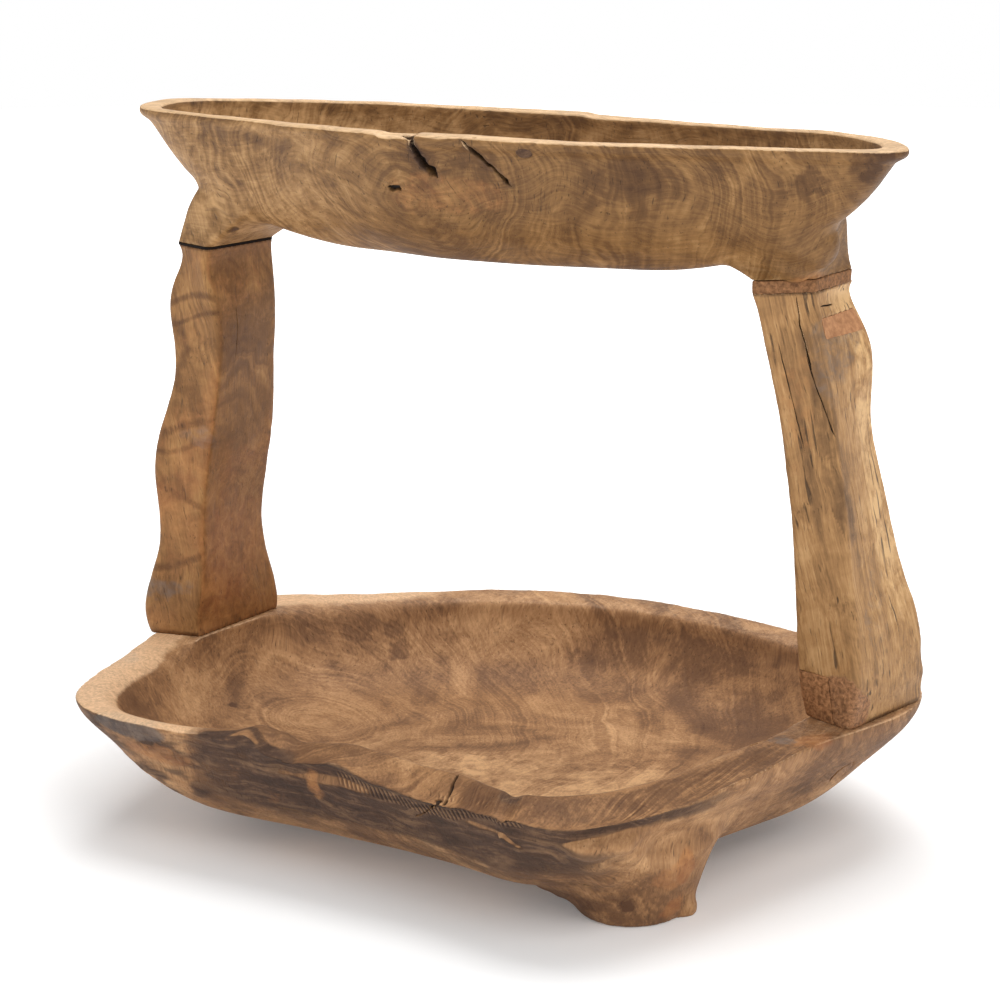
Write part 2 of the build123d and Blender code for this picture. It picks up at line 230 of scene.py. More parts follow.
class Rim:
    """The flat rim of a bowl about the frame's middle: its inner and outer edges as distances out, in a plan whose Y is
    stretched until the bowl is about as deep as it is long."""

    def __init__(self, node, stretch):
        self.stretch = np.array([1.0, stretch])
        points = corners_of(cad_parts[node])
        flat = points[points[:, 2] > points[:, 2].max() - 0.05 * MM][:, :2] * self.stretch
        angle = np.arctan2(flat[:, 1], flat[:, 0])
        reach = np.linalg.norm(flat, axis=1)
        gap = np.abs((angle[:, None] - angle[None, :] + math.pi) % (2 * math.pi) - math.pi)
        close = gap < 0.06
        middle = 0.5 * (np.where(close, reach[None, :], 0).max(1) + np.where(close, reach[None, :], 9).min(1))
        self.outer = self.edge(angle, reach, reach > middle)
        self.inner = self.edge(angle, reach, reach < middle)

    @staticmethod
    def edge(angle, reach, chosen):
        order = np.argsort(angle[chosen])
        return angle[chosen][order], reach[chosen][order]

    def read(self, points):
        """How far out each point is, and how far out the inner and outer edges are in its direction."""
        flat = points[:, :2] * self.stretch
        angle = np.arctan2(flat[:, 1], flat[:, 0])
        inner = np.interp(angle, *self.inner, period=2 * math.pi)
        outer = np.interp(angle, *self.outer, period=2 * math.pi)
        return np.linalg.norm(flat, axis=1), inner, outer


def ring_edges(piece):
    edges = np.zeros(len(piece.data.edges) * 2, np.int64)
    piece.data.edges.foreach_get("vertices", edges)
    return edges.reshape(-1, 2)


def spread(piece, values, rounds):
    """Blur a number over the surface."""
    a, b = ring_edges(piece).T
    count = np.bincount(a, minlength=len(values)) + np.bincount(b, minlength=len(values))
    for _ in range(rounds):
        total = np.bincount(a, values[b], len(values)) + np.bincount(b, values[a], len(values))
        values = 0.5 * values + 0.5 * total / count
    return values


def bulge(piece, rounds):
    """How far each vertex stands out from its neighbours in mm: positive on edges, negative in creases."""
    points, normals = corners_of(piece), normals_of(piece)
    lowered = np.stack([spread(piece, points[:, axis], rounds) for axis in range(3)], axis=1)
    return ((points - lowered) * normals).sum(1) / MM


def refine(piece, chosen, rounds=2):
    """Divide the faces whose corners are all chosen, so that a narrow crack has its own mesh."""
    for _ in range(rounds):
        mask = chosen(corners_of(piece), normals_of(piece))
        mesh = bmesh.new()
        mesh.from_mesh(piece.data)
        mesh.verts.ensure_lookup_table()
        edges = [e for e in mesh.edges if mask[e.verts[0].index] and mask[e.verts[1].index]]
        bmesh.ops.subdivide_edges(mesh, edges=edges, cuts=1, use_grid_fill=True)
        mesh.to_mesh(piece.data)
        mesh.free()
    for polygon in piece.data.polygons:
        polygon.use_smooth = True


def carve(piece, line, width, depth, ragged=0.35, seed=1, ends=0.15):
    """Open a crack along a line: width and depth in metres. Returns how deep each vertex lies in it, 0 to 1."""
    points, normals = corners_of(piece), normals_of(piece)
    near, share = near_line(points + ragged * width * np.stack([noise(points, 3 * MM, seed + k) for k in range(3)], 1), line, normals)
    taper = ramp(share, 0, ends) * ramp(1 - share, 0, ends) * 0.8 + 0.2
    local = width * taper * (1 + 0.5 * noise(points, 5 * MM, seed + 9))
    inside = 1 - ramp(near / local, 0.45, 1.0)
    move_to(piece, points - normals * (depth * taper * inside)[:, None])
    return inside


def at(node, x, y, z):
    """A point by its shares of a CAD node's box."""
    low, high = np.array(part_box(node))
    return low + (high - low) * np.array([x, y, z])


def blob(points, node, share, size, seed=0, wobble=0.5):
    """1 inside a ragged spot about a place on a node, 0 outside. size is its half-widths in mm."""
    offset = (points - at(node, *share)) / (np.array(size) * MM)
    distance = np.linalg.norm(offset, axis=1) + wobble * noise(points, 0.7 * MM * max(size), seed, 3)
    return 1 - ramp(distance, 0.6, 1.15)


# ---------------------------------------------------------------- materials
class Graph:
    """Short names for the shader nodes of one material."""

    def __init__(self, name):
        self.material = bpy.data.materials.new(name)
        self.material.use_nodes = True
        self.nodes = self.material.node_tree.nodes
        self.links = self.material.node_tree.links
        self.surface = self.nodes["Principled BSDF"]
        self.place = self.nodes.new("ShaderNodeTexCoord").outputs["Object"]

    def put(self, value, socket):
        if isinstance(value, bpy.types.NodeSocket):
            self.links.new(value, socket)
        elif value is not None:
            socket.default_value = value

    def math(self, kind, a, b=None, c=None, clamp=False):
        node = self.nodes.new("ShaderNodeMath")
        node.operation = kind
        node.use_clamp = clamp
        for index, value in enumerate((a, b, c)):
            self.put(value, node.inputs[index])
        return node.outputs[0]

    def add(self, a, b):
        return self.math("ADD", a, b)

    def times(self, a, b):
        return self.math("MULTIPLY", a, b)

    def vector(self, kind, a, b=None):
        node = self.nodes.new("ShaderNodeVectorMath")
        node.operation = kind
        self.put(a, node.inputs[0])
        self.put(b, node.inputs[1])
        return node.outputs["Value" if kind in ("LENGTH", "DOT_PRODUCT") else "Vector"]

    def turned(self, turn, stretch=(1, 1, 1), shift=(0, 0, 0), source=None):
        node = self.nodes.new("ShaderNodeMapping")
        node.inputs["Rotation"].default_value = [math.radians(v) for v in turn]
        node.inputs["Scale"].default_value = stretch
        node.inputs["Location"].default_value = shift
        self.links.new(source or self.place, node.inputs["Vector"])
        return node.outputs[0]

    def noise(self, vector, size, detail=3.0, rough=0.5, distortion=0.0, colour=False):
        """Noise about 0.5 whose lumps are size metres across."""
        node = self.nodes.new("ShaderNodeTexNoise")
        node.inputs["Scale"].default_value = 1 / size
        node.inputs["Detail"].default_value = detail
        node.inputs["Roughness"].default_value = rough
        node.inputs["Distortion"].default_value = distortion
        self.links.new(vector, node.inputs["Vector"])
        return node.outputs["Color" if colour else "Fac"]

    def noise_1d(self, value, size, detail=2.0, rough=0.5):
        node = self.nodes.new("ShaderNodeTexNoise")
        node.noise_dimensions = "1D"
        node.inputs["Scale"].default_value = 1 / size
        node.inputs["Detail"].default_value = detail
        node.inputs["Roughness"].default_value = rough
        self.put(value, node.inputs["W"])
        return node.outputs["Fac"]

    def span(self, value, low, high, to_low=0.0, to_high=1.0):
        node = self.nodes.new("ShaderNodeMapRange")
        node.interpolation_type = "SMOOTHSTEP"
        self.put(value, node.inputs["Value"])
        node.inputs["From Min"].default_value = low
        node.inputs["From Max"].default_value = high
        node.inputs["To Min"].default_value = to_low
        node.inputs["To Max"].default_value = to_high
        return node.outputs["Result"]

    def ramp(self, value, stops):
        node = self.nodes.new("ShaderNodeValToRGB")
        elements = node.color_ramp.elements
        while len(elements) < len(stops):
            elements.new(0.5)
        for element, (place, colour) in zip(elements, stops):
            element.position = place
            element.color = linear(colour)
        self.links.new(value, node.inputs["Fac"])
        return node.outputs["Color"]

    def mix(self, share, a, b, kind="MIX"):
        node = self.nodes.new("ShaderNodeMix")
        node.data_type = "RGBA"
        node.blend_type = kind
        self.put(share, node.inputs["Factor"])
        for value, socket in ((a, node.inputs[6]), (b, node.inputs[7])):
            self.put(linear(value) if isinstance(value, tuple) else value, socket)
        return node.outputs[2]

    def kept(self, name):
        node = self.nodes.new("ShaderNodeAttribute")
        node.attribute_name = name
        return node.outputs["Fac"]

    def bump(self, height, distance, strength=1.0):
        node = self.nodes.new("ShaderNodeBump")
        node.inputs["Strength"].default_value = strength
        node.inputs["Distance"].default_value = distance
        self.links.new(height, node.inputs["Height"])
        self.links.new(node.outputs["Normal"], self.surface.inputs["Normal"])


def linear(colour):
    """A colour of three sRGB numbers from 0 to 255 as Blender wants it."""
    out = []
    for value in colour[:3]:
        value /= 255
        out.append(value / 12.92 if value <= 0.04045 else ((value + 0.055) / 1.055) ** 2.4)
    return (*out, 1.0)


def wood(name, turn, heart, stretch, ring, swirl, swirl_size, colours, smoke=0.5, band=0.5, streak=0.25, lines=0.2, cloud=0.09, fibres=(1, 1, 0.05), checks=0.2, seed=0.0):
    """Carved and sanded root wood. turn leans the grain, which runs along Z before it; heart is where the rings centre."""
    g = Graph(name)
    base = g.turned(turn, (1, 1, 1), (seed, seed * 0.7, seed * 0.3))
    warp = g.vector("SUBTRACT", g.noise(base, swirl_size, 1.6, 0.45, 0.3, colour=True), (0.5, 0.5, 0.5))
    warp_node = g.nodes.new("ShaderNodeVectorMath")
    warp_node.operation = "SCALE"
    g.links.new(warp, warp_node.inputs[0])
    warp_node.inputs["Scale"].default_value = swirl
    bent = g.vector("ADD", g.vector("SUBTRACT", g.turned(turn), heart), warp_node.outputs[0])
    across = g.vector("MULTIPLY", bent, stretch)
    reach = g.vector("LENGTH", across)
    wobble = g.noise(base, 11 * MM, 2.0, 0.5)
    reach = g.math("MULTIPLY_ADD", wobble, 4 * MM, reach)
    bands = g.noise_1d(g.add(reach, seed), ring, 1.0, 0.5)
    fine = g.noise_1d(g.add(reach, seed), ring * 0.16, 2.0, 0.6)
    fibre_place = g.vector("MULTIPLY", bent, fibres)
    fibre = g.noise(fibre_place, 1.6 * MM, 4.0, 0.65)
    hair = g.noise(fibre_place, 0.5 * MM, 2.0, 0.6)
    smoky = g.noise(base, cloud, 6.0, 0.62, 1.2)
    mottle = g.noise(base, cloud * 0.22, 4.0, 0.6, 0.8)
    patchy = g.span(g.noise(base, cloud * 0.6, 2.0, 0.5), 0.35, 0.65, 0.35, 1.0)
    value = g.math("MULTIPLY_ADD", g.times(g.math("SUBTRACT", bands, 0.5), patchy), band, 0.5)
    value = g.math("MULTIPLY_ADD", g.math("SUBTRACT", smoky, 0.5), smoke * 2.2, value)
    value = g.math("MULTIPLY_ADD", g.math("SUBTRACT", mottle, 0.5), 0.42, value)
    value = g.math("MULTIPLY_ADD", g.times(g.math("SUBTRACT", fine, 0.5), patchy), lines * 2, value)
    value = g.math("MULTIPLY_ADD", g.math("SUBTRACT", fibre, 0.5), streak * 2, value)
    shade = g.times(g.kept("shade"), g.span(g.add(g.times(mottle, 0.6), g.times(g.noise(base, 9 * MM, 4.0, 0.65, 1.0), 0.6)), 0.35, 0.8, 0.1, 1.5))
    value = g.math("MULTIPLY_ADD", shade, 0.5, value)
    ribs = g.noise_1d(g.vector("DOT_PRODUCT", g.place, (0.94, -0.25, 0.22)), 1.5 * MM, 1.0, 0.5)
    ribbed = g.times(g.math("SUBTRACT", ribs, 0.5), g.kept("comb"))
    value = g.math("MULTIPLY_ADD", ribbed, 1.1, value)
    value = g.math("MULTIPLY_ADD", g.kept("ridge"), 0.3, value)
    deep, mid, pale = colours
    colour = g.ramp(value, [(0.08, deep), (0.36, tuple(0.55 * d + 0.45 * m for d, m in zip(deep, mid))), (0.55, mid), (0.92, pale)])
    ragged = g.math("SUBTRACT", g.noise(base, 6 * MM, 5.0, 0.65, 0.5), 0.5)
    flow = g.noise(g.vector("MULTIPLY", g.vector("ADD", g.place, warp_node.outputs[0]), (0.16, 0.16, 1)), 5 * MM, 5.0, 0.62, 0.4)
    flow = g.math("MULTIPLY_ADD", ribbed, 0.9, flow)
    flow = g.math("MULTIPLY_ADD", g.kept("ridge"), 0.16, flow)
    bark_and_shade = g.span(g.add(g.kept("bark_and_shade"), g.add(g.times(ragged, 0.7), g.times(g.math("SUBTRACT", flow, 0.5), 1.1))), 0.2, 0.95)
    colour = g.mix(g.times(bark_and_shade, 0.92), colour, g.ramp(g.add(flow, g.times(ragged, 0.4)), [(0.3, (40, 27, 21)), (0.5, (70, 49, 38)), (0.74, (128, 97, 70))]))
    rust = g.span(g.add(g.kept("rust"), g.times(ragged, 0.8)), 0.25, 0.9)
    colour = g.mix(g.times(rust, 0.75), colour, g.ramp(g.add(mottle, g.times(ragged, 0.6)), [(0.3, (142, 86, 48)), (0.7, (190, 132, 78))]))
    grey = g.span(g.add(g.kept("grey"), g.times(ragged, 0.9)), 0.3, 0.85)
    colour = g.mix(g.times(grey, 0.8), colour, g.ramp(g.add(mottle, g.times(ragged, 0.6)), [(0.3, (70, 62, 60)), (0.7, (118, 104, 94))]))
    pores = g.span(g.noise(g.vector("MULTIPLY", bent, (1, 1, 0.09)), 0.9 * MM, 1.0, 0.5), 0.66, 0.76)
    colour = g.mix(g.times(pores, 0.5), colour, tuple(0.5 * v for v in deep), "MIX")
    dry = g.noise(g.vector("MULTIPLY", fibre_place, (1, 1, 0.7)), 2.6 * MM, 1.0, 0.4)
    dry = g.times(g.span(dry, 0.66, 0.72), g.span(smoky, 0.42, 0.56))
    colour = g.mix(g.times(dry, checks), colour, (38, 25, 17))
    paste = g.span(g.add(g.kept("paste"), g.times(ragged, 0.5)), 0.35, 0.6)
    grit = g.noise(g.place, 2.2 * MM, 4.0, 0.6, 0.3)
    colour = g.mix(paste, colour, g.ramp(grit, [(0.35, (111, 75, 47)), (0.7, (181, 130, 88))]))
    worn = g.kept("worn")
    colour = g.mix(g.math("MULTIPLY", g.span(g.add(worn, g.times(ragged, 0.7)), 0.2, 0.9), g.span(fibre, 0.3, 0.7, 0.45, 0.8), clamp=True), colour, tuple(min(255, v * 0.9 + 55) for v in pale))
    # painted shade: cracks, holes, creases and the line under the bowl's lip turn nearly black
    colour = g.mix(g.kept("recess_shade"), colour, (26, 17, 13))
    g.links.new(colour, g.surface.inputs["Base Color"])
    rough = g.math("MULTIPLY_ADD", g.math("SUBTRACT", hair, 0.5), 0.25, 0.6)
    rough = g.math("MULTIPLY_ADD", bark_and_shade, 0.12, rough)
    g.links.new(g.math("MULTIPLY_ADD", worn, -0.08, rough, clamp=True), g.surface.inputs["Roughness"])
    g.surface.inputs["Specular IOR Level"].default_value = 0.32
    height = g.add(g.times(fibre, 0.5), g.times(hair, 0.25))
    height = g.math("MULTIPLY_ADD", fine, 0.5, height)
    height = g.math("MULTIPLY_ADD", pores, -0.8, height)
    height = g.add(height, g.times(g.times(g.add(ragged, flow), bark_and_shade), 2.0))
    height = g.math("MULTIPLY_ADD", ribbed, 1.6, height)
    height = g.math("MULTIPLY_ADD", g.times(dry, checks), -1.5, height)
    height = g.math("MULTIPLY_ADD", g.times(grit, paste), 2.5, height)
    g.bump(height, 0.5 * MM, 0.85)
    return g.material


def plain(name, dark, light, size, rough, metal=0.0, low=1.0):
    """A small part's finish: two colours in fine grains. Near the bowl they are low times as bright."""
    g = Graph(name)
    grains = g.noise(g.place, size, 4.0, 0.6, 0.3)
    colour = g.ramp(grains, [(0.35, dark), (0.7, light)])
    if low != 1.0:
        near = g.ramp(grains, [(0.35, tuple(v * low for v in dark)), (0.7, tuple(v * low for v in light))])
        colour = g.mix(g.span(g.vector("DOT_PRODUCT", g.place, (0, 0, 1)), 0.15, 0.25), near, colour)
    g.links.new(colour, g.surface.inputs["Base Color"])
    g.links.new(g.span(grains, 0.3, 0.7, rough - 0.1, rough + 0.1), g.surface.inputs["Roughness"])
    g.surface.inputs["Metallic"].default_value = metal
    g.surface.inputs["Specular IOR Level"].default_value = 0.5 if metal else 0.15
    g.bump(grains, 0.3 * MM, 0.6)
    return g.material


# ---------------------------------------------------------------- lower bowl
def carve_bowl():
    flare = [(np.array(a) * MM, r * MM) for a, r in (((105, -98, 13), 11), ((98, -101, 16), 13), ((91, -104, 18), 14), ((83, -107, 22), 14), ((74, -110, 27), 14), ((64, -113, 32), 13), ((144, -97, 43), 20), ((151, -82, 47), 18), ((143, -100, 31), 17), ((138, -98, 20), 14), ((150, -88, 3), 9.5), ((146, -84, 10), 9.5), ((143, -80, 4), 10))]
    for across in (-16, 0, 15):
        for t in (0.0, 0.25, 0.5, 0.75, 1.0):
            middle = np.array([122 + across + 5 * t, -156 + 50 * t + 0.012 * across**2 + 0.25 * across, 66 - 49 * t])
            flare.append((middle * MM, (15 - 0.02 * across**2) * MM))
    piece = blank(["lower_bowl"], "carved_bowl", 1.4 * MM, flare)
    points = corners_of(piece)
    smooth(piece, 8, 1 - 0.93 * ramp(points[:, 2], RIM - 6 * MM, RIM - 2 * MM))
    points = corners_of(piece)
    rim = Rim("lower_bowl", 1.3)
    reach, inner, outer = rim.read(points)
    under = (1 - ramp(points[:, 2], 56 * MM, 74 * MM)) * ramp(points[:, 2], 3 * MM, 10 * MM)
    relax(piece, 120, under * ramp(-normals_of(piece)[:, 2], -0.75, -0.4), only_out=True)
    points = corners_of(piece)
    root = 1 - ramp(np.linalg.norm(points - np.array([130, -112, 40]) * MM, axis=1), 44 * MM, 62 * MM)
    relax(piece, 260, root * ramp(points[:, 2], 3 * MM, 10 * MM) * ramp(-normals_of(piece)[:, 2], -0.75, -0.4), only_out=True)
    points = corners_of(piece)
    x, y, z = (points / MM).T
    # the outer lip lies lower than the inner edge, and the front rises and dips along its length
    front = ramp(-y, 15, 60)
    share = ramp((reach - inner) / (outer - inner), 0.05, 0.9)
    drop = keyed(x, [(-245, 2), (-184, 3.5), (-130, 3.5), (-100, 2), (-84, 0.5), (-66, 7), (-45, 6), (-26, 4.5), (4, 10), (36, 12.5), (49, 12.5), (64, 10), (94, 8), (118, 10), (145, 9), (168, 7), (185, 4), (205, 0), (245, 0)])
    lift = keyed(x, [(-245, 0), (-112, 0), (-92, 1), (-79, 3.6), (-66, 1), (-52, -3), (-38, -1), (-20, 1.5), (2, 0), (25, -1), (55, 0), (78, -1), (86, -3.2), (94, -0.5), (245, 0)])
    z = z - drop * front * share * ramp(z, 86 - 46, 86 - 2) + lift * front * ramp(z, 86 - 20, 86 - 2)
    z = z - 4.5 * (1 - ramp((reach - inner) / (outer - inner), -0.1, 0.7)) * ramp(z, 60, 84) * ramp(-x, 60, 130) * (1 - ramp(y, -25, 0))
    z = z - 2.0 * (1 - ramp((reach - inner) / (outer - inner), -0.1, 0.8)) * ramp(z, 64, 84) * ramp(y, 60, 100)
    move_to(piece, np.stack([x, y, z], 1) * MM)
    points, normals = corners_of(piece), normals_of(piece)
    x, y, z = (points / MM).T
    lip = 86 - drop * front
    outside = np.maximum(ramp((reach - inner) / (outer - inner), 0.3, 0.8) * (normals[:, 2] < 0.75), ramp(-normals[:, 2], 0.05, 0.4))
    away = points.copy()
    away[:, 2] = 0
    away /= np.linalg.norm(away, axis=1)[:, None] + 1e-9
    # the groove under the lip, and gouges along the wall
    under_lip = lip - z
    groove = ramp(under_lip, 0.6, 2.6) * (1 - ramp(under_lip, 6, 15)) * keyed(x, [(-245, 0), (-78, 0), (-58, 2.2), (40, 2.2), (75, 4.8), (145, 4.8), (178, 0), (245, 0)]) * front * outside
    layers = noise(points * np.array([0.25, 0.25, 1.6]), 9 * MM, 4, 3) * front * outside * ramp(-x, -190, -120)
    push = -groove + 0.9 * layers + 0.8 * noise(points, 32 * MM, 8, 2) * outside
    push -= 2.2 * hump(z - lip, -9, 9) * hump(x, -45, 34) * front * outside
    push += 1.8 * hump(z - lip, -4, 7) * hump(x, -83, 22) * front * outside
    points = points + away * (push * ramp(z, 1, 9) * MM)[:, None]
    floor_part = ramp(normals[:, 2], 0.2, 0.6) * (z < 80)
    points[:, 2] += 0.5 * MM * noise(points, 28 * MM, 3, 2) * floor_part
    seats = ramp(np.abs(x), 165, 185) * ramp(y, -22, -6)
    points[:, 2] += 0.6 * MM * noise(points, 14 * MM, 5, 2) * ramp(z, 68, 80) * (1 - seats)
    move_to(piece, points)
    reach, inner, outer = rim.read(points)
    edge = hump((reach - inner) / (outer - inner), -0.05, 0.75) * ramp(z, 62, 74) * (1 - seats)
    carved = front * ramp(x, -118, -92)
    wide = hump((reach - inner) / (outer - inner), -0.2, 1.1) * ramp(z, 50, 66) * (1 - seats)
    relax(piece, 130, wide * ramp(-x, 90, 150) * (1 - carved))
    relax(piece, 24, edge * (1 - 0.9 * carved))
    relax(piece, 5, ramp(z, 62, 72) * (1 - seats) * 0.6 * (1 - 0.9 * carved))
    points = corners_of(piece)
    relax(piece, 150, 1 - ramp(np.linalg.norm(points - np.array([146.5, -111, 43]) * MM, axis=1), 8 * MM, 20 * MM))
    points = corners_of(piece)
    points[:, 2] = np.maximum(points[:, 2], LOW[2])
    move_to(piece, points)
    return piece, rim


def paint_bowl(piece, rim):
    crack = [at("lower_bowl", 0.598, 0.085, 0.99), at("lower_bowl", 0.592, 0.045, 0.9), at("lower_bowl", 0.573, 0.062, 0.81)]
    hair = [at("lower_bowl", 0.573, 0.062, 0.81), at("lower_bowl", 0.557, 0.08, 0.73), at("lower_bowl", 0.542, 0.088, 0.67)]
    slot = [at("lower_bowl", 0.862, 0.36, 1.0), at("lower_bowl", 0.872, 0.41, 1.0)]
    comb = [at("lower_bowl", 0.45, 0.09, 0.84), at("lower_bowl", 0.553, 0.075, 0.79), at("lower_bowl", 0.6, 0.06, 0.8), at("lower_bowl", 0.64, 0.036, 0.88), at("lower_bowl", 0.69, 0.02, 0.88)]
    knob = [at("lower_bowl", 0.669, 0.039, 0.716), at("lower_bowl", 0.683, 0.043, 0.659)]
    hole = [at("lower_bowl", 0.733, 0.135, 0.35), at("lower_bowl", 0.742, 0.137, 0.347)]
    lines = [crack, hair, slot, knob, hole]
    refine(piece, lambda p, n: np.min([near_line(p, line, n)[0] for line in lines], axis=0) < 5 * MM)
    refine(piece, lambda p, n: (near_line(p, comb, n)[0] < 6.5 * MM) & (n[:, 2] < 0.6), 1)
    # painted shade: the insides of the carved crack, hair crack, slot and hole are darkened nearly black
    recess_shade = carve(piece, crack, 1.25 * MM, 2.6 * MM, seed=2, ragged=0.15, ends=0.04)
    recess_shade = np.maximum(recess_shade, 0.8 * carve(piece, hair, 0.5 * MM, 1.8 * MM, seed=5))
    recess_shade = np.maximum(recess_shade, 0.8 * carve(piece, slot, 1.0 * MM, 2.0 * MM, seed=6))
    recess_shade = np.maximum(recess_shade, carve(piece, hole, 0.9 * MM, 1.6 * MM, seed=8))
    points, normals = corners_of(piece), normals_of(piece)
    near, _ = near_line(points, comb, normals)
    combed = (1 - ramp(near, 3.0 * MM, 5.5 * MM)) * (normals[:, 2] < 0.7)
    ridge = np.sin((points[:, 0] + 0.25 * points[:, 2]) * 2 * math.pi / (2.8 * MM) + 1.5 * noise(points, 12 * MM, 41))
    knobby = 1 - ramp(near_line(points, knob, normals)[0], 1.5 * MM, 4.0 * MM)
    move_to(piece, points + normals * ((0.3 * combed * ridge + 1.2 * knobby) * MM)[:, None])
    points, normals = corners_of(piece), normals_of(piece)
    reach, inner, outer = rim.read(points)
    x, y, z = (points / MM).T
    front = ramp(-y, 15, 60)
    lip = 86 - front * keyed(x, [(-245, 2), (-130, 3.5), (-84, 0.5), (-66, 7), (-26, 4.5), (4, 10), (36, 12.5), (64, 10), (94, 8), (118, 10), (168, 7), (185, 4), (205, 0), (245, 0)])
    stand = bulge(piece, 6)
    outside = np.maximum(ramp((reach - inner) / (outer - inner), 0.75, 1.0), ramp(-normals[:, 2], 0.0, 0.35)) * (normals[:, 2] < 0.62)
    outside = spread(piece, outside.astype(float), 4)
    big = noise(points, 30 * MM, 11, 3)
    long = noise(points * np.array([0.35, 0.35, 1]), 14 * MM, 12, 3)
    bark_and_shade = outside * front * keyed(x, [(-245, 0.35), (-190, 0.55), (-150, 0.6), (-118, 0.65), (-90, 0.8), (-60, 1.0), (60, 1.05), (110, 0.85), (150, 0.15), (245, 0)])
    bark_and_shade = 1.15 * bark_and_shade * keyed(z, [(0, 0), (20, 0.15), (32, 0.5), (46, 0.95), (90, 1)]) + 0.35 * long * outside * front * (1 - ramp(x, 120, 160))
    bark_and_shade += 1.0 * noise(points * np.array([0.6, 0.6, 1]), 8 * MM, 16, 3) * outside * front * (1 - ramp(x, -130, -80))
    # painted shade: the groove under the front lip is darkened with the bark colour, standing for the shade under the
    # lip's overhang
    groove = ramp(lip - z, 0.5, 2.5) * (1 - ramp(lip - z, 6, 13)) * ramp(x, 40, 80) * (1 - ramp(x, 165, 195)) * front * outside
    bark_and_shade += 0.75 * groove
    bark_and_shade += 0.9 * blob(points, "lower_bowl", (0.29, 0.10, 0.97), (15, 6, 4), 3)
    bark_and_shade += 0.7 * blob(points, "lower_bowl", (0.36, 0.09, 0.92), (16, 9, 5), 6)
    bark_and_shade += 0.6 * blob(points, "lower_bowl", (0.675, 0.05, 0.98), (9, 5, 5), 13)
    bark_and_shade += (0.4 + 0.3 * long) * outside * (1 - front)
    grey = 0.8 * blob(points, "lower_bowl", (0.155, 0.115, 0.9), (34, 14, 8), 4)
    grey += 0.8 * blob(points, "lower_bowl", (0.037, 0.364, 1.0), (9, 12, 5), 9) + 0.6 * blob(points, "lower_bowl", (0.89, 0.41, 1.0), (10, 8, 5), 14)
    rust = 0.6 * blob(points, "lower_bowl", (0.183, 0.13, 0.73), (30, 14, 10), 7)
    rust += 0.6 * blob(points, "lower_bowl", (0.408, 0.104, 0.74), (7, 9, 16), 8)
    rust += 0.6 * blob(points, "lower_bowl", (0.83, 0.2, 0.35), (20, 24, 10), 10)
    rust += 0.75 * blob(points, "lower_bowl", (0.93, 0.42, 1.0), (14, 14, 6), 15)
    rust += 0.8 * blob(points, "lower_bowl", (0.815, 0.212, 0.116), (9, 10, 9), 21) + 0.85 * blob(points, "lower_bowl", (0.831, 0.212, 0.43), (5, 7, 13), 22)
    rust += 0.4 * outside * front * ramp(noise(points, 22 * MM, 17, 3), 0.0, 0.5) * (1 - ramp(x, -60, 0))
    shade = np.zeros(len(points))
    # painted light: the light blobs at (0.6, 0.4, 0.39) and (0.61, 0.52, 0.36) on the bowl's floor stand for light
    # falling from above
    for share, size, amount in (
        ((0.149, 0.714, 0.85), (18, 16, 10), -0.24), ((0.2, 0.766, 0.82), (14, 13, 9), -0.28), ((0.242, 0.802, 0.81), (9, 9, 9), -0.26),
        ((0.253, 0.785, 0.66), (7, 7, 7), -0.35), ((0.22, 0.744, 0.61), (20, 20, 9), -0.2), ((0.5, 0.85, 0.5), (74, 32, 19), -0.34),
        ((0.62, 0.91, 0.72), (58, 22, 14), -0.34), ((0.75, 0.75, 0.45), (40, 40, 14), -0.25), ((0.134, 0.478, 0.553), (2.5, 2.5, 4), -1.3), ((0.6, 0.4, 0.39), (110, 70, 9), 0.34),
        ((0.4, 0.45, 0.39), (50, 50, 9), 0.2), ((0.61, 0.52, 0.36), (76, 60, 16), 0.2), ((0.22, 0.55, 0.6), (55, 60, 22), -0.2),
        ((0.7775, 0.161, 0.18), (6, 6, 4.5), -1.1), ((0.73, 0.15, 0.16), (16, 10, 6), -0.4), ((0.79, 0.14, 0.5), (10, 8, 8), 0.4),
    ):
        shade += amount * blob(points, "lower_bowl", share, size, 20, 0.9)
    shade += outside * front * (-0.15 + 0.25 * (1 - ramp(z, 34, 50)) * (1 - ramp(x, 60, 100)))
    shade -= 0.35 * outside * front * ramp(x, 60, 95) * (1 - ramp(z, 30, 48)) * (0.8 + 0.8 * big)
    shade += 0.3 * hump(z, 52, 22) * hump(x, 150, 34) * outside * front + 0.3 * outside * front * ramp(x, 140, 165)
    shadow_line = ramp(lip - z, 0.2, 1.0) * (1 - ramp(lip - z, 1.8, 4)) * ramp(x, -72, -58) * (1 - ramp(x, 42, 60)) * front * outside
    facet = front * ramp(x, 52, 62) * ramp((reach - inner) / (outer - inner), 0.05, 0.3) * ramp(z - lip, -3, 1) * ramp(normals[:, 2], 0.2, 0.5)
    fan = blob(points, "lower_bowl", (0.8, 0.1, 0.9), (14, 14, 9), 18) + blob(points, "lower_bowl", (0.865, 0.23, 0.95), (12, 24, 7), 19)
    rust += 0.2 * facet
    bark_and_shade += 0.3 * facet * ramp(big, -0.3, 0.4)
    shade -= 0.36 * facet
    curl_line, _ = near_line(points, [at("lower_bowl", *v) for v in ((0.27, 0.09, 0.96), (0.29, 0.105, 1.0), (0.32, 0.115, 1.02), (0.352, 0.095, 0.95), (0.372, 0.085, 0.95))], normals)
    bark_and_shade += 0.8 * (1 - ramp(curl_line, 1.5 * MM, 4.5 * MM))
    worn = ramp(stand, 0.2, 0.8) * ramp(z, 70, 84) * (1 - np.clip(bark_and_shade, 0, 1)) * 0.7
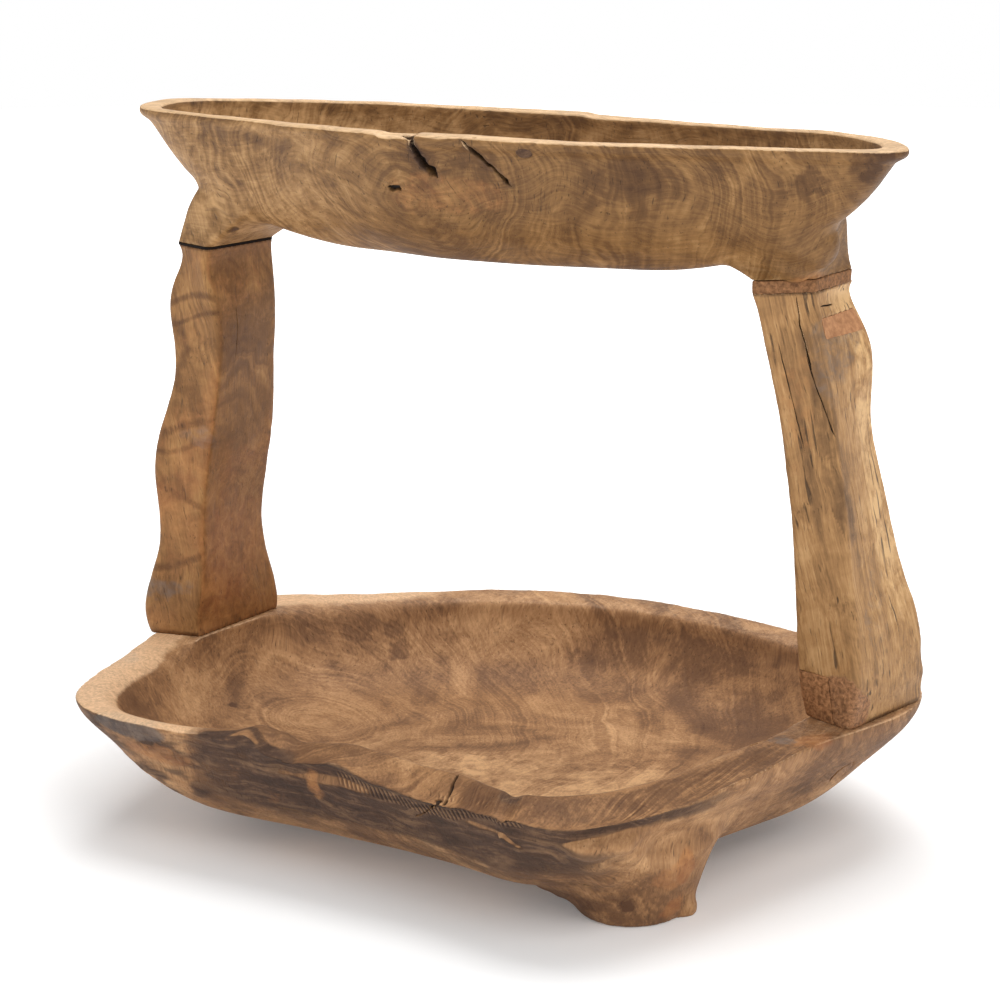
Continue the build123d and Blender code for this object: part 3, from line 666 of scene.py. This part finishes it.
    worn += ramp((reach - inner) / (outer - inner) + 0.6 * front, 0.15, 0.65) * ramp(z, 74, 81) * ramp(-x, 90, 140) * ramp(normals[:, 2], 0.4, 0.85) + 0.35 * ramp(z, 80, 84) * ramp(normals[:, 2], 0.4, 0.85) * (1 - front)
    # painted shade in the creases of the outer wall, and a painted shadow line under the front lip
    recess_shade = np.maximum(recess_shade, 0.5 * ramp(-stand, 0.4, 1.0) * outside * ramp(z, 40, 60))
    recess_shade = np.maximum(recess_shade, 0.55 * shadow_line)
    for name, values in (("bark_and_shade", bark_and_shade), ("grey", grey), ("rust", rust), ("shade", shade), ("worn", worn), ("recess_shade", recess_shade), ("comb", 0.3 * facet + 0.45 * fan), ("ridge", combed * ridge)):
        keep_value(piece, name, np.clip(values, -1.5, 1.5))


# ---------------------------------------------------------------- upper tray
def carve_tray():
    rim = Rim("upper_tray", 4.0)
    middle = at("right_top_filler", 0.5, 0.2, 1.0)
    shoulder = [(middle + np.array(a) * MM, r * MM) for a, r in (((0, 3, 12), 14), ((4, -4, 24), 15), ((12, 0, 20), 14))]
    piece = blank(["upper_tray"], "carved_tray", 1.15 * MM, shoulder)
    z = corners_of(piece)[:, 2] / MM
    smooth(piece, 8, 1 - 0.97 * (1 - ramp(z, 335, 341)))
    points = corners_of(piece)
    z = points[:, 2] / MM
    normals = normals_of(piece)
    behind = ramp(points[:, 1] / MM, 44, 54) * ramp(normals[:, 1], -0.4, -0.1)
    relax(piece, 420, ramp(z, 334, 342) * (1 - ramp(z, 378, 392)) * np.maximum(ramp(-normals[:, 2], -0.6, -0.2), behind), only_out=True)
    points, normals = corners_of(piece), normals_of(piece)
    x, y, z = (points / MM).T
    push = 0.9 * noise(points, 30 * MM, 14, 2) + 0.3 * noise(points, 9 * MM, 15, 2)
    points = points + normals * (push * ramp(z, 338, 350) * (1 - 0.6 * ramp(z, 398, 405)) * MM)[:, None]
    top = ramp(z, 396, 406)
    points[:, 2] += MM * top * (0.5 * noise(points, 26 * MM, 16, 2) - 0.4)
    points[:, 2] -= MM * top * (2.0 * ramp(x, -47, -43) * (1 - ramp(x, -25, -22)) * ramp(-y, 40, 50) + 1.1 * ramp(x, 22, 30) * (1 - ramp(x, 120, 200)) * ramp(y, 30, 50))
    points[:, 2] = np.minimum(points[:, 2], TRAY_HIGH[2])
    move_to(piece, points)
    # a blunt band runs round under the rim's outer edge
    points, normals = corners_of(piece), normals_of(piece)
    reach, inner, outer = rim.read(points)
    short = np.clip(outer - 0.3 * MM - reach, 0, 0.2 * outer) * ramp(points[:, 2] / MM, 399, 404) * (reach > 0.5 * (inner + outer)) * (normals[:, 2] < 0.5)
    points[:, :2] *= (1 + short / np.maximum(reach, 1 * MM))[:, None]
    move_to(piece, points)
    relax(piece, 7, ramp(points[:, 2] / MM, 395, 401) * 0.8)
    return piece


def paint_tray(piece):
    cleft = [at("upper_tray", 0.44, 0.06, 0.995), at("upper_tray", 0.456, 0.012, 0.97), at("upper_tray", 0.459, 0.025, 0.888), at("upper_tray", 0.469, 0.041, 0.787), at("upper_tray", 0.483, 0.054, 0.701)]
    slit = [at("upper_tray", 0.52, 0.004, 0.985), at("upper_tray", 0.534, 0.02, 0.892), at("upper_tray", 0.553, 0.036, 0.794), at("upper_tray", 0.574, 0.056, 0.67)]
    oval = [at("upper_tray", 0.417, 0.079, 0.612), at("upper_tray", 0.435, 0.079, 0.606)]
    knot = [at("upper_tray", 0.589, 0.017, 0.905), at("upper_tray", 0.6, 0.017, 0.918)]
    lines = [cleft, slit, oval]
    refine(piece, lambda p, n: np.min([near_line(p, line, n)[0] for line in lines + [knot]], axis=0) < 6 * MM)
    # painted shade: the insides of the carved clefts and the oval are darkened
    recess_shade = np.zeros(len(piece.data.vertices))
    for line, width, depth, seed in ((cleft, 2.6, 6, 3), (slit, 1.3, 4, 7), (oval, 2.0, 3, 11)):
        recess_shade = np.maximum(recess_shade, carve(piece, line, width * MM, depth * MM, seed=seed, ragged=0.5, ends=0.1))
    points, normals = corners_of(piece), normals_of(piece)
    x, y, z = (points / MM).T
    stand = bulge(piece, 6)
    outside = ramp(-normals[:, 2], -0.5, 0.1)
    inner_wall = (1 - outside) * (1 - ramp(z, 400, 405)) * (z > 345)
    # painted light: the tray's inner wall is lightened, most at its upper back, as if lit from above inside the tray
    shade = inner_wall * (0.1 + 0.6 * ramp(z, 372, 398) * ramp(y, 30, 60)) + outside * keyed(x, [(-245, 0.3), (-100, 0.2), (-40, -0.05), (20, -0.22), (120, -0.12), (245, -0.1)])
    for share, size, amount in (
        ((0.966, 0.25, 0.9), (14, 14, 12), -0.6), ((0.9, 0.21, 0.755), (10, 10, 9), -0.4), ((0.14, 0.39, 0.15), (12, 8, 9), -0.25),
        ((0.156, 0.397, 0.137), (3, 4, 3), -1.0), ((0.46, 0.06, 0.8), (18, 8, 20), -0.4), ((0.2, 0.2, 0.86), (40, 16, 5), -0.3),
        ((0.53, 0.06, 0.8), (14, 8, 18), -0.3), ((0.36, 0.08, 0.7), (20, 10, 10), -0.25), ((0.7, 0.1, 0.75), (30, 16, 12), -0.25),
    ):
        shade += amount * blob(points, "upper_tray", share, size, 30, 0.9)
    rust = 0.6 * blob(points, "upper_tray", (0.9, 0.3, 0.05), (26, 40, 10), 33) + 0.45 * blob(points, "upper_tray", (0.5, 0.07, 0.55), (40, 12, 16), 34)
    worn = ramp(stand, 0.12, 0.6) * ramp(z, 395, 404) * 1.5 + 1.3 * ramp(z, 402, 405) * ramp(normals[:, 2], 0.35, 0.85)
    bark_and_shade = 0.5 * blob(points, "upper_tray", (0.46, 0.04, 0.85), (8, 8, 14), 35) + 1.4 * blob(points, "upper_tray", (0.595, 0.017, 0.911), (5.5, 6, 3.2), 36, 0.3)
    bark_and_shade += 0.5 * (1 - ramp(near_line(points, slit, normals)[0], 1 * MM, 4 * MM)) + 0.5 * (1 - ramp(near_line(points, cleft, normals)[0], 1.5 * MM, 5 * MM))
    for name, values in (("bark_and_shade", bark_and_shade), ("rust", rust), ("shade", shade), ("worn", worn), ("recess_shade", recess_shade)):
        keep_value(piece, name, np.clip(values, -1.5, 1.5))


# ---------------------------------------------------------------- posts
def carve_post(node, name, seed, lines):
    piece = blank([node], name, 1.0 * MM)
    low, high = np.array(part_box(node))
    z = corners_of(piece)[:, 2]
    hold = np.maximum(1 - ramp(z, low[2] + 2 * MM, low[2] + 6 * MM), ramp(z, high[2] - 7 * MM, high[2] - 2 * MM))
    smooth(piece, 10, 1 - 0.9 * hold)
    if node == "right_post":
        points = corners_of(piece)
        back = ramp(points[:, 1], 20 * MM, 60 * MM)
        up = (points[:, 2] - low[2]) / MM
        side = ramp(points[:, 0], high[0] - 36 * MM, high[0] - 8 * MM) * ramp(points[:, 1], 0, 40 * MM)
        seat = ramp(up, 0, 3)
        points[:, 0] += side * MM * (3.0 * seat * (1 - ramp(up, 13, 30)) - 1.8 * hump(up, 38, 24))
        points[:, 1] += back * MM * (5 * seat * (1 - ramp(up, 6, 34)) - 2.5 * hump(up, 38, 26) + 3 * ramp(points[:, 2], high[2] - 26 * MM, high[2] - 6 * MM))
        move_to(piece, points)
        relax(piece, 40, side * ramp(up, 0.2, 2.5) * (1 - ramp(up, 24, 40)))
    points, normals = corners_of(piece), normals_of(piece)
    free = ramp(points[:, 2], low[2] + 1 * MM, low[2] + 12 * MM) * (1 - ramp(points[:, 2], high[2] - 12 * MM, high[2] - 1 * MM))
    push = 0.8 * noise(points * np.array([1, 1, 0.5]), 26 * MM, seed, 2) + 0.25 * noise(points, 8 * MM, seed + 2, 2)
    move_to(piece, points + normals * (push * free * MM)[:, None])
    if lines:
        refine(piece, lambda p, n: np.min([near_line(p, line, n)[0] for line, _, _ in lines], axis=0) < 4.5 * MM)
    recess_shade = np.zeros(len(piece.data.vertices))
    for index, (line, width, depth) in enumerate(lines):
        recess_shade = np.maximum(recess_shade, carve(piece, line, width * MM, depth * MM, seed=seed + index))
    stand = bulge(piece, 6)
    keep_value(piece, "worn", ramp(stand, 0.12, 0.6))
    # painted shade: the carved cracks and the creases of each post are darkened
    keep_value(piece, "recess_shade", np.maximum(recess_shade, 0.5 * ramp(-stand, 0.3, 0.8)))
    return piece


pieces = {}
bowl, bowl_rim = carve_bowl()
paint_bowl(bowl, bowl_rim)
pieces["lower_bowl"] = bowl
tray = carve_tray()
paint_tray(tray)
pieces["upper_tray"] = tray

on_right = lambda *shares: [at("right_post", *share) for share in shares]
on_left = lambda *shares: [at("left_post", *share) for share in shares]
pieces["right_post"] = carve_post("right_post", "right_upright", 50, [
    (on_right((0.25, 0.16, 0.995), (0.274, 0.16, 0.962), (0.285, 0.155, 0.929), (0.327, 0.157, 0.884), (0.371, 0.157, 0.828)), 0.42, 2.5),
    (on_right((0.33, 0.157, 0.86), (0.40, 0.16, 0.79), (0.47, 0.17, 0.73), (0.52, 0.2, 0.67)), 0.35, 1.2),
    (on_right((0.16, 0.07, 0.9), (0.24, 0.08, 0.8), (0.3, 0.09, 0.72), (0.36, 0.1, 0.64)), 0.3, 0.8),
    (on_right((0.38, 0.3, 0.965), (0.42, 0.5, 0.962)), 0.5, 1.5),
    (on_right((0.6, 0.3, 0.6), (0.66, 0.33, 0.5), (0.7, 0.36, 0.4)), 0.25, 0.6),
])
pieces["left_post"] = carve_post("left_post", "left_upright", 70, [
    (on_left((0.95, 0.25, 0.93), (0.97, 0.27, 0.8), (0.97, 0.25, 0.68)), 0.5, 0.8),
    (on_left((0.8, 0.12, 0.42), (0.93, 0.3, 0.37)), 0.4, 0.7),
])

for node, name, cell in (("right_top_filler", "right_top_paste", 0.6), ("right_base_filler", "right_base_paste", 0.7)):
    paste = blank([node], name, cell * MM)
    smooth(paste, 4)
    points, normals = corners_of(paste), normals_of(paste)
    move_to(paste, points + normals * (0.5 * MM * noise(points, 5 * MM, 90, 3))[:, None])
    pieces[node] = paste


def ring_mark(points, node, share, size, thick=0.2):
    """1 along the outline of an oval on a node, such as a knot's edge."""
    offset = (points - at(node, *share)) / (np.array(size) * MM)
    return np.exp(-(((np.linalg.norm(offset, axis=1) + 0.25 * noise(points, 9 * MM, 60, 2) - 1) / thick) ** 2))


for node in ("left_post", "right_post"):
    piece = pieces[node]
    points, normals = corners_of(piece), normals_of(piece)
    low, high = np.array(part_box(node))
    x, y, z = (points / MM).T
    # painted shade: a dark band at the foot and the top of each post, where it meets the parts below and above
    ends = 1.4 * (1 - ramp(z, low[2] / MM + 0.8, low[2] / MM + 3.0)) + 0.8 * ramp(z, high[2] / MM - 1.6, high[2] / MM - 0.3)
    if node == "left_post":
        inner_face, front_face = ramp(normals[:, 0], 0.45, 0.85), ramp(-normals[:, 1], 0.45, 0.85)
        shade = -0.3 * inner_face - 0.05 * front_face - 0.9 * ends
        shade -= 0.4 * blob(points, node, (0.5, 0.09, 0.6), (16, 20, 12), 71, 0.9) + 0.4 * inner_face * ramp(z, 230, 300) * hump(y, low[1] / MM + 22, 22)
        shade -= 0.5 * ring_mark(points, node, (0.28, 0.12, 0.74), (13, 20, 17))
        for level, thick in ((0.86, 3), (0.82, 2.2), (0.54, 4), (0.5, 2.5), (0.36, 3), (0.2, 3.5)):
            arc = low[2] / MM + level * (high[2] - low[2]) / MM + 6 * np.sin((x - low[0] / MM) / 14 + level * 20)
            shade -= 0.6 * hump(z, arc, thick) * front_face
        rust = 0.55 * front_face * (0.7 + noise(points, 25 * MM, 73, 2)) + inner_face * (0.3 + 0.3 * (1 - ramp(z, 110, 200)) + 0.4 * noise(points, 40 * MM, 74, 2))
        grey = 0.6 * blob(points, node, (0.2, 0.05, 0.12), (22, 12, 12), 75, 0.9) + 0.5 * blob(points, node, (0.6, 0.1, 0.52), (14, 10, 8), 76, 0.9)
    else:
        side = ramp(normals[:, 0], 0.3, 0.8)
        shade = 0.62 * side * ramp(z, 80, 200) * ramp(y, 10, 45) - 0.9 * ends
        for start, end, thick, amount in (((0.3, 0.16, 0.9), (0.62, 0.25, 0.45), 8, 0.6), ((0.2, 0.08, 0.92), (0.5, 0.12, 0.4), 4, 0.35), ((0.5, 0.5, 0.9), (0.8, 0.5, 0.2), 6, 0.25), ((0.62, 0.25, 0.5), (0.78, 0.3, 0.1), 4, 0.3)):
            away, _ = near_line(points, [at(node, *start), at(node, *end)], normals)
            shade -= amount * (1 - ramp(away, 1 * MM, thick * MM)) * (0.8 + noise(points * np.array([1, 1, 0.15]), 3 * MM, 77, 2))
        keep_value(piece, "paste", 1.1 * blob(points, node, (0.6, 0.03, 0.03), (24, 26, 25), 78, 0.3))
        rust = 0.3 * blob(points, node, (0.72, 0.05, 0.06), (40, 30, 24), 78, 0.5) + 0.4 * blob(points, node, (0.3, 0.1, 0.75), (12, 12, 30), 79, 0.9)
        grey = 0.55 * blob(points, node, (0.45, 0.3, 0.85), (14, 30, 34), 80, 0.9) + 0.4 * blob(points, node, (0.8, 0.4, 0.3), (8, 16, 40), 81, 0.9)
    for name, values in (("shade", shade), ("rust", rust), ("grey", grey)):
        keep_value(piece, name, np.clip(values, -1.5, 1.5))

TEAK = ((92, 60, 36), (158, 115, 75), (212, 166, 118))
materials = {
    "bowl_wood": wood("bowl_wood_carved", (0, 0, 0), tuple(at("lower_bowl", 0.235, 0.53, 0.4)), (1, 1, 0.8), 16 * MM, 40 * MM, 70 * MM, TEAK, smoke=0.58, band=0.32, streak=0.26, lines=0.2, cloud=0.085, seed=0.0),
    "tray_wood": wood("tray_wood_carved", (0, 0, 0), tuple(at("upper_tray", 0.44, 0.08, 0.6)), (0.75, 0.25, 1), 15 * MM, 60 * MM, 75 * MM, ((76, 48, 23), (137, 100, 58), (190, 149, 100)), smoke=0.38, band=0.26, streak=0.22, lines=0.26, cloud=0.06, fibres=(0.06, 0.3, 1), seed=0.3),
    "left_post_wood": wood("left_post_wood_carved", (0, 8, 0), (-0.26, 0.03, 0.2), (1, 1, 0.5), 14 * MM, 26 * MM, 60 * MM, ((98, 63, 30), (150, 107, 61), (196, 150, 93)), smoke=0.35, band=0.35, streak=0.22, lines=0.25, cloud=0.06, seed=0.6),
    "right_post_wood": wood("right_post_wood_carved", (0, 14, 0), (0.1, -0.1, 0.2), (1, 1, 0.06), 10 * MM, 12 * MM, 60 * MM, ((104, 74, 44), (162, 121, 76), (206, 166, 116)), smoke=0.3, band=0.4, streak=0.32, lines=0.22, cloud=0.06, fibres=(1, 1, 0.035), checks=0.75, seed=0.9),
    "dowel_wood": plain("dowel_beech", (160, 122, 84), (206, 170, 126), 2 * MM, 0.55),
    "patch_wood": plain("patch_reddish", (150, 104, 70), (188, 138, 98), 3.5 * MM, 0.6),
    "filler": plain("filler_paste", (98, 66, 42), (160, 115, 78), 2.2 * MM, 0.75, low=1.13),
    "dark_glue": plain("glue_dark", (17, 12, 9), (36, 25, 19), 1.5 * MM, 0.9),
    "screw_steel": plain("steel_zinc", (120, 118, 112), (176, 174, 168), 1.0 * MM, 0.4, 1.0),
}
slot_of = {"lower_bowl": "bowl_wood", "upper_tray": "tray_wood", "left_post": "left_post_wood", "right_post": "right_post_wood", "right_top_filler": "filler", "right_base_filler": "filler"}
for node, piece in pieces.items():
    piece.data.materials.clear()
    piece.data.materials.append(materials[slot_of[node]])
    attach(piece, "root")
    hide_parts(node)
for name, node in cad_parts.items():
    if name in pieces:
        continue
    kind = "dowel_wood" if "dowel" in name else "bowl_wood" if "plug" in name else "screw_steel" if "screw" in name else "patch_wood" if "patch" in name else "dark_glue" if "glue" in name else "filler"
    for slot in node.material_slots:
        slot.material = materials[kind]

# ---------------------------------------------------------------- floor, light and camera
bpy.ops.mesh.primitive_circle_add(vertices=96, radius=4.0, fill_type="NGON", location=(0, 0, -0.0002))
floor = bpy.context.object
floor.name = "studio_floor"
g = Graph("floor_white")
g.links.new(g.ramp(g.noise(g.place, 0.8, 2.0), [(0.0, (240, 240, 240)), (1.0, (246, 246, 246))]), g.surface.inputs["Base Color"])
g.surface.inputs["Roughness"].default_value = 0.9
g.surface.inputs["Emission Color"].default_value = (1, 1, 1, 1)
g.links.new(g.span(g.vector("LENGTH", g.place), 0.25, 1.2, 0.1, 1.0), g.surface.inputs["Emission Strength"])
floor.data.materials.append(g.material)

world = bpy.data.worlds.new("studio")
world.use_nodes = True
bpy.context.scene.world = world
sky = world.node_tree.nodes["Background"]
sky.inputs["Color"].default_value = (1, 1, 1, 1)
seen = world.node_tree.nodes.new("ShaderNodeLightPath")
level = world.node_tree.nodes.new("ShaderNodeMapRange")
level.inputs["To Min"].default_value = 0.5
level.inputs["To Max"].default_value = 1.0
world.node_tree.links.new(seen.outputs["Is Camera Ray"], level.inputs["Value"])
world.node_tree.links.new(level.outputs["Result"], sky.inputs["Strength"])


def softbox(name, place, size, power):
    lamp = bpy.data.lights.new(name, "AREA")
    lamp.shape = "RECTANGLE"
    lamp.size, lamp.size_y = size
    lamp.energy = power
    holder = bpy.data.objects.new(name, lamp)
    holder.location = place
    holder.rotation_euler = (Vector((0, 0, 0.2)) - Vector(place)).to_track_quat("-Z", "Y").to_euler()
    bpy.context.scene.collection.objects.link(holder)


softbox("key", (1.3, -1.1, 1.9), (1.2, 1.2), 20)
softbox("fill", (-1.6, -1.3, 1.2), (1.4, 1.4), 8)
softbox("top", (0.0, 0.5, 2.1), (1.6, 1.6), 36)

camera = bpy.data.objects.new("camera", bpy.data.cameras.new("camera"))
camera.data.lens = 95
camera.data.sensor_width = 36
camera.location = (0.6009, -1.34, 0.5742)
camera.rotation_euler = (math.radians(90 - 14.55), 0, math.radians(24))
bpy.context.scene.collection.objects.link(camera)
bpy.context.scene.camera = camera
bpy.context.scene.view_settings.view_transform = "Standard"
